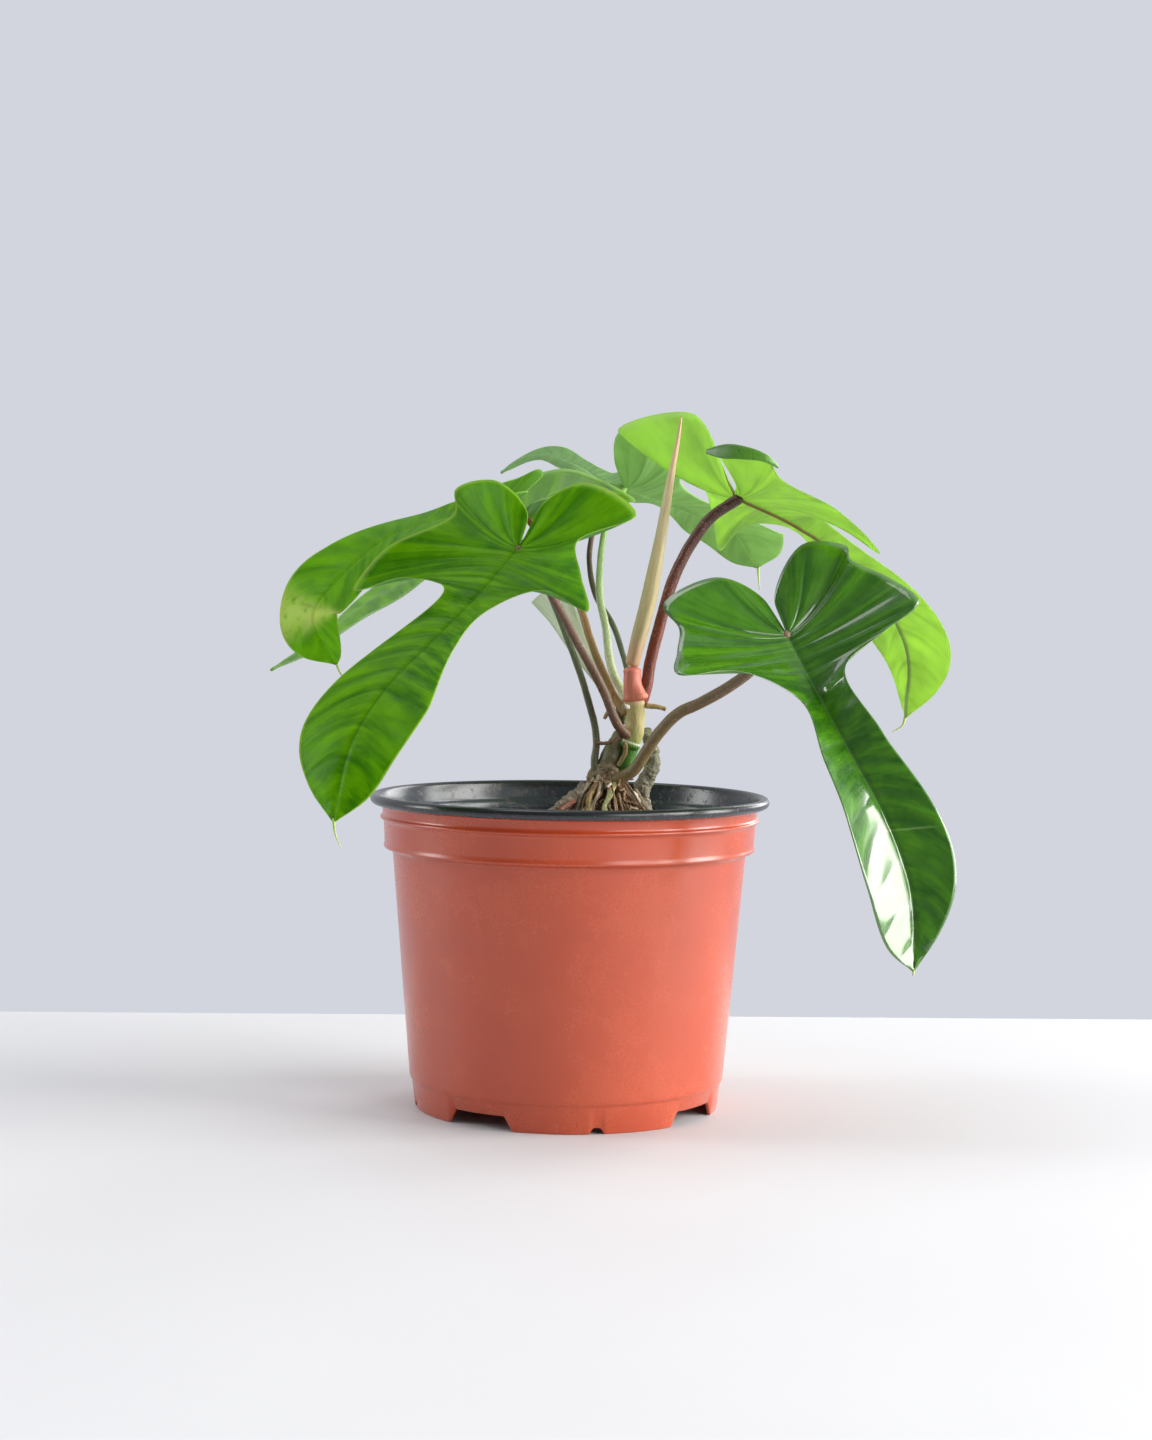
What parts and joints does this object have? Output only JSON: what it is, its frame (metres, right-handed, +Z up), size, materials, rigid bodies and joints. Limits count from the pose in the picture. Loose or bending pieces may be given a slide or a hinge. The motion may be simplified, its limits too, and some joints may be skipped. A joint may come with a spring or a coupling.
{
  "type": "potted philodendron",
  "caption": "Lobed-leaf climbing houseplant with a rolled new leaf, in a round two-tone plastic nursery pot with notched foot, resting on its base.",
  "frame": {"origin": "on the resting plane, under the middle of the bounding box of the whole plant and pot", "axes": "+Z up; +X to the right and +Y away, seen from the side where the large dark leaf hangs at the front right"},
  "size_m": [0.2358, 0.2038, 0.2272],
  "materials": {
    "terracotta_plastic": "satin, fine grain; black inside and lip",
    "potting_soil": "crumbly, matt",
    "leaf_green": "satin",
    "leaf_dark": "glossy",
    "leaf_bright": "satin, light comes through",
    "stalk_brown": "satin",
    "stalk_red": "satin",
    "stalk_green": "satin",
    "stalk_pale": "satin",
    "stem": "satin, dull",
    "spear_cream": "satin",
    "sheath_coral": "satin",
    "root_brown": "matt, bark",
    "cataphyll_pale": "papery"
  },
  "bodies": {
    "root": {"pot": "terracotta_plastic", "potting_soil": "potting_soil", "leaf_front_left": "leaf_green", "leaf_left": "leaf_green", "leaf_far_left": "leaf_green", "leaf_rear": "leaf_green", "leaf_rear_right": "leaf_bright", "leaf_top_right": "leaf_bright", "leaf_front_right": "leaf_dark", "stalk_front_left": "stalk_brown", "stalk_left": "stalk_green", "stalk_far_left": "stalk_brown", "stalk_rear": "stalk_green", "stalk_rear_right": "stalk_pale", "stalk_top_right": "stalk_red", "stalk_front_right": "stalk_brown", "stem_lower": "stem", "stem_green": "stem", "stem_upper": "stem", "stem_node": "stem", "old_stub": "stem", "sheath": "sheath_coral", "spear": "spear_cream", "cataphyll": "cataphyll_pale", "root_crown": "root_brown", "aerial_root_brown": "root_brown", "aerial_root_front": "root_brown", "aerial_root_rear": "root_brown", "aerial_root_right": "root_brown", "aerial_root_yellow": "root_brown", "root_curl": "root_brown", "root_ochre": "root_brown", "root_pale": "root_brown", "root_rear": "root_brown", "root_red": "root_brown", "root_thick": "root_brown", "root_white": "root_brown", "rootlet": "root_brown"}
  },
  "joints": []
}
